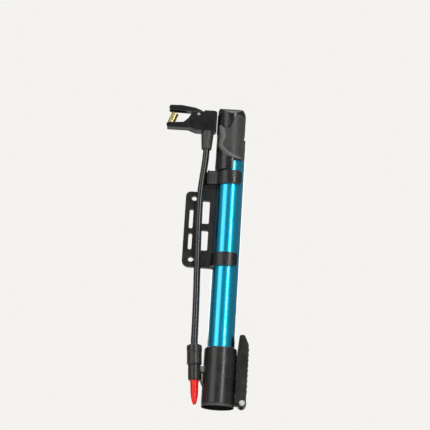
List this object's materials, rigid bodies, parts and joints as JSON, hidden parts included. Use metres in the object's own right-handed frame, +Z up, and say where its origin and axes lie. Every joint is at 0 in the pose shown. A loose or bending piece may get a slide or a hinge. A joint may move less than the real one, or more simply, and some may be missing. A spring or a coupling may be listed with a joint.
{
  "type": "mini floor pump",
  "caption": "Slim hand pump with blue barrel, folding handle and foot peg, side hose with lever head, clip-on frame bracket and stowed cone nozzle.",
  "frame": {"origin": "centre of the underside of the base pad", "axes": "+Z up along the barrel to the handle, -Y towards the front, -X towards the hose and bracket"},
  "size_m": [0.097, 0.0343, 0.3085],
  "materials": {
    "barrel_blue": "blue anodised, polished, gloss",
    "black_nylon": "black moulded nylon, satin",
    "black_gloss": "black moulded plastic, semi gloss",
    "soft_grip": "soft over-moulded grip, dark grey, matt",
    "black_rubber": "black rubber",
    "hose_rubber": "black rubber hose, glossy",
    "red_plastic": "red moulded plastic, gloss",
    "brass": "turned brass",
    "steel": "bright steel",
    "rod_chrome": "chromed steel rod",
    "white_acetal": "natural acetal"
  },
  "bodies": {
    "pump_body": {"base_housing": "black_nylon", "base_pad": "black_rubber", "barrel_tube": "barrel_blue", "barrel_seal": "black_rubber", "valve_seat": "white_acetal", "valve_spring": "steel", "hose_nut": "black_nylon", "hose_barb": "brass", "top_cap": "black_gloss", "rod_bush": "white_acetal", "rod_wiper": "black_rubber", "end_bumper": "black_rubber", "foot_pin": "steel"},
    "check_valve": {"check_disc": "black_rubber"},
    "plunger": {"piston_rod": "rod_chrome", "piston_body": "white_acetal", "piston_ring": "black_rubber", "piston_cup": "black_rubber", "piston_washer": "steel", "piston_nut": "steel", "rod_knuckle": "black_gloss"},
    "handle": {"handle_shell": "black_gloss", "handle_pad": "soft_grip", "handle_pin": "steel"},
    "foot": {"foot_peg": "black_nylon"},
    "bracket": {"bracket_body": "black_nylon"},
    "hose_line": {"hose": "hose_rubber"},
    "pump_head": {"head_body": "black_gloss", "head_barb": "brass", "brass_bush": "brass", "valve_seal": "black_rubber", "lever_pin": "steel", "lever_spring": "steel", "hose_collar": "black_rubber"},
    "lever": {"jaw_lever": "black_gloss"},
    "nozzle": {"cone_nozzle": "red_plastic"}
  },
  "joints": [
    {"name": "rod_slide", "type": "slide", "parent": "pump_body", "child": "plunger", "axis": [0, 0, 1], "range_m": [0, 0.175]},
    {"name": "handle_fold", "type": "hinge", "parent": "plunger", "child": "handle", "pos_m": [0, 0, 0.2927], "axis": [-1, 0, 0], "range_deg": [0, 90]},
    {"name": "foot_fold", "type": "hinge", "parent": "pump_body", "child": "foot", "pos_m": [0.0236, 0, 0.0047], "axis": [0, 1, 0], "range_deg": [0, 90]},
    {"name": "hose_swing", "type": "hinge", "parent": "pump_body", "child": "hose_line", "pos_m": [-0.0265, -0.0055, 0.0652], "axis": [0, -1, 0], "range_deg": [0, 75]},
    {"name": "head_follow", "type": "hinge", "parent": "hose_line", "child": "pump_head", "pos_m": [-0.0265, -0.0055, 0.2572], "axis": [0, 1, 0], "range_deg": [0, 75]},
    {"name": "lever_open", "type": "hinge", "parent": "pump_head", "child": "lever", "pos_m": [-0.0365, -0.0055, 0.2991], "axis": [0, 1, 0], "range_deg": [0, 32], "stiffness_Nm_per_rad": 0.02, "deforming": ["lever_spring"]},
    {"name": "valve_lift", "type": "slide", "parent": "pump_body", "child": "check_valve", "axis": [0, 0, -1], "range_m": [0, 0.0012], "stiffness_N_per_m": 20, "deforming": ["valve_spring"]},
    {"name": "bracket_slide", "type": "slide", "parent": "pump_body", "child": "bracket", "axis": [0, 0, -1], "range_m": [0, 0.06]},
    {"name": "nozzle_pull", "type": "slide", "parent": "pump_body", "child": "nozzle", "axis": [0.061, 0, -0.9981], "range_m": [0, 0.04]}
  ],
  "couplings": [
    {"joint": "head_follow", "follows": "hose_swing", "ratio": 1}
  ]
}
